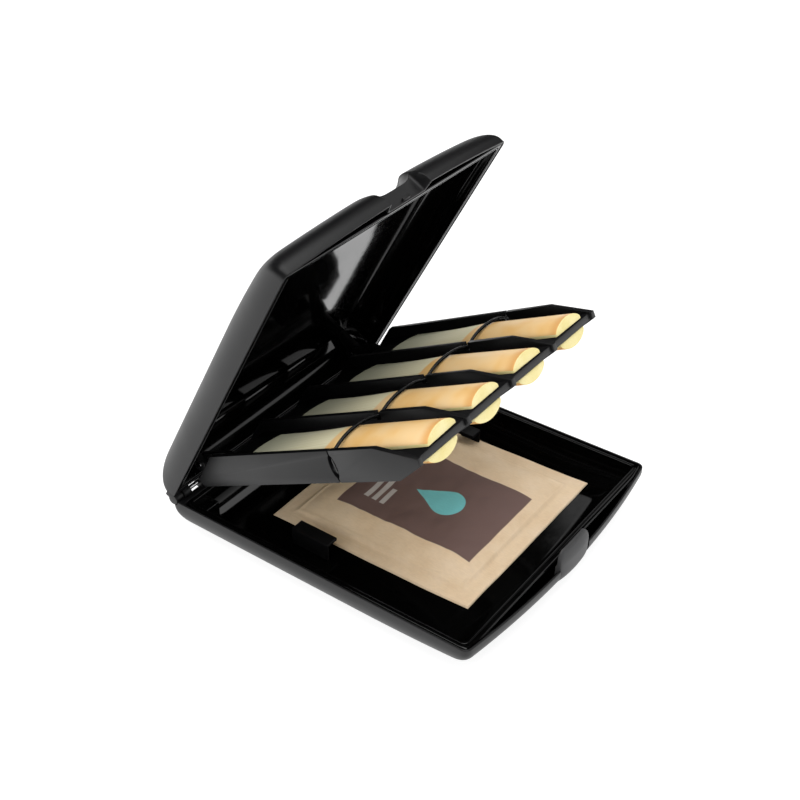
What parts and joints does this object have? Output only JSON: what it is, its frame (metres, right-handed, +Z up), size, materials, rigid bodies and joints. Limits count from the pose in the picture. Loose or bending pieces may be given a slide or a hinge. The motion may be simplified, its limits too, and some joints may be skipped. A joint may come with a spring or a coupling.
{
  "type": "reed case",
  "caption": "Open reed case: two moulded halves on a steel pin, a swing-out tray holding cane reeds under an elastic cord, a tipping front catch and a humidity sachet.",
  "frame": {"origin": "on the base's flat underside, midway between its sides and at half the depth of the case", "axes": "+X along the hinge, +Y towards the hinge, +Z up"},
  "size_m": [0.0992, 0.1195, 0.11],
  "materials": {
    "black_plastic": "satin moulded",
    "gloss_black_plastic": "polished",
    "dark_grey_plastic": "satin",
    "steel": "drawn wire",
    "elastic": "covered elastic",
    "cane": "cane bark and scraped vamp",
    "kraft_paper": "kraft paper, printed panel"
  },
  "bodies": {
    "base": {"base_shell": "black_plastic", "base_liner": "gloss_black_plastic", "hinge_pin": "steel", "humidity_pack": "kraft_paper", "latch_pin": "steel", "latch_spring": "steel"},
    "lid": {"lid_shell": "black_plastic", "lid_liner": "gloss_black_plastic", "tray_pivot_pin_left": "steel", "tray_pivot_pin_right": "steel"},
    "tray": {"reed_tray": "dark_grey_plastic", "elastic_cord": "elastic", "reed_top_1": "cane", "reed_top_2": "cane", "reed_top_3": "cane", "reed_top_4": "cane", "reed_bottom_1": "cane", "reed_bottom_2": "cane", "reed_bottom_3": "cane", "reed_bottom_4": "cane"},
    "latch": {"latch_button": "dark_grey_plastic"}
  },
  "joints": [
    {"name": "lid_hinge", "type": "hinge", "parent": "base", "child": "lid", "pos_m": [0, 0.0549, 0.01165], "axis": [-1, 0, 0], "range_deg": [-61.65, 38.35]},
    {"name": "tray_pivot", "type": "hinge", "parent": "lid", "child": "tray", "pos_m": [0, 0.05283, 0.01963], "axis": [-1, 0, 0], "range_deg": [-21.3, 34.2]},
    {"name": "latch_tip", "type": "hinge", "parent": "base", "child": "latch", "pos_m": [0, -0.0543, 0.00865], "axis": [1, 0, 0], "range_deg": [0, 8], "stiffness_Nm_per_rad": 0.02, "deforming": ["latch_spring"]}
  ],
  "couplings": [
    {"joint": "tray_pivot", "follows": "lid_hinge", "ratio": -0.55218}
  ]
}
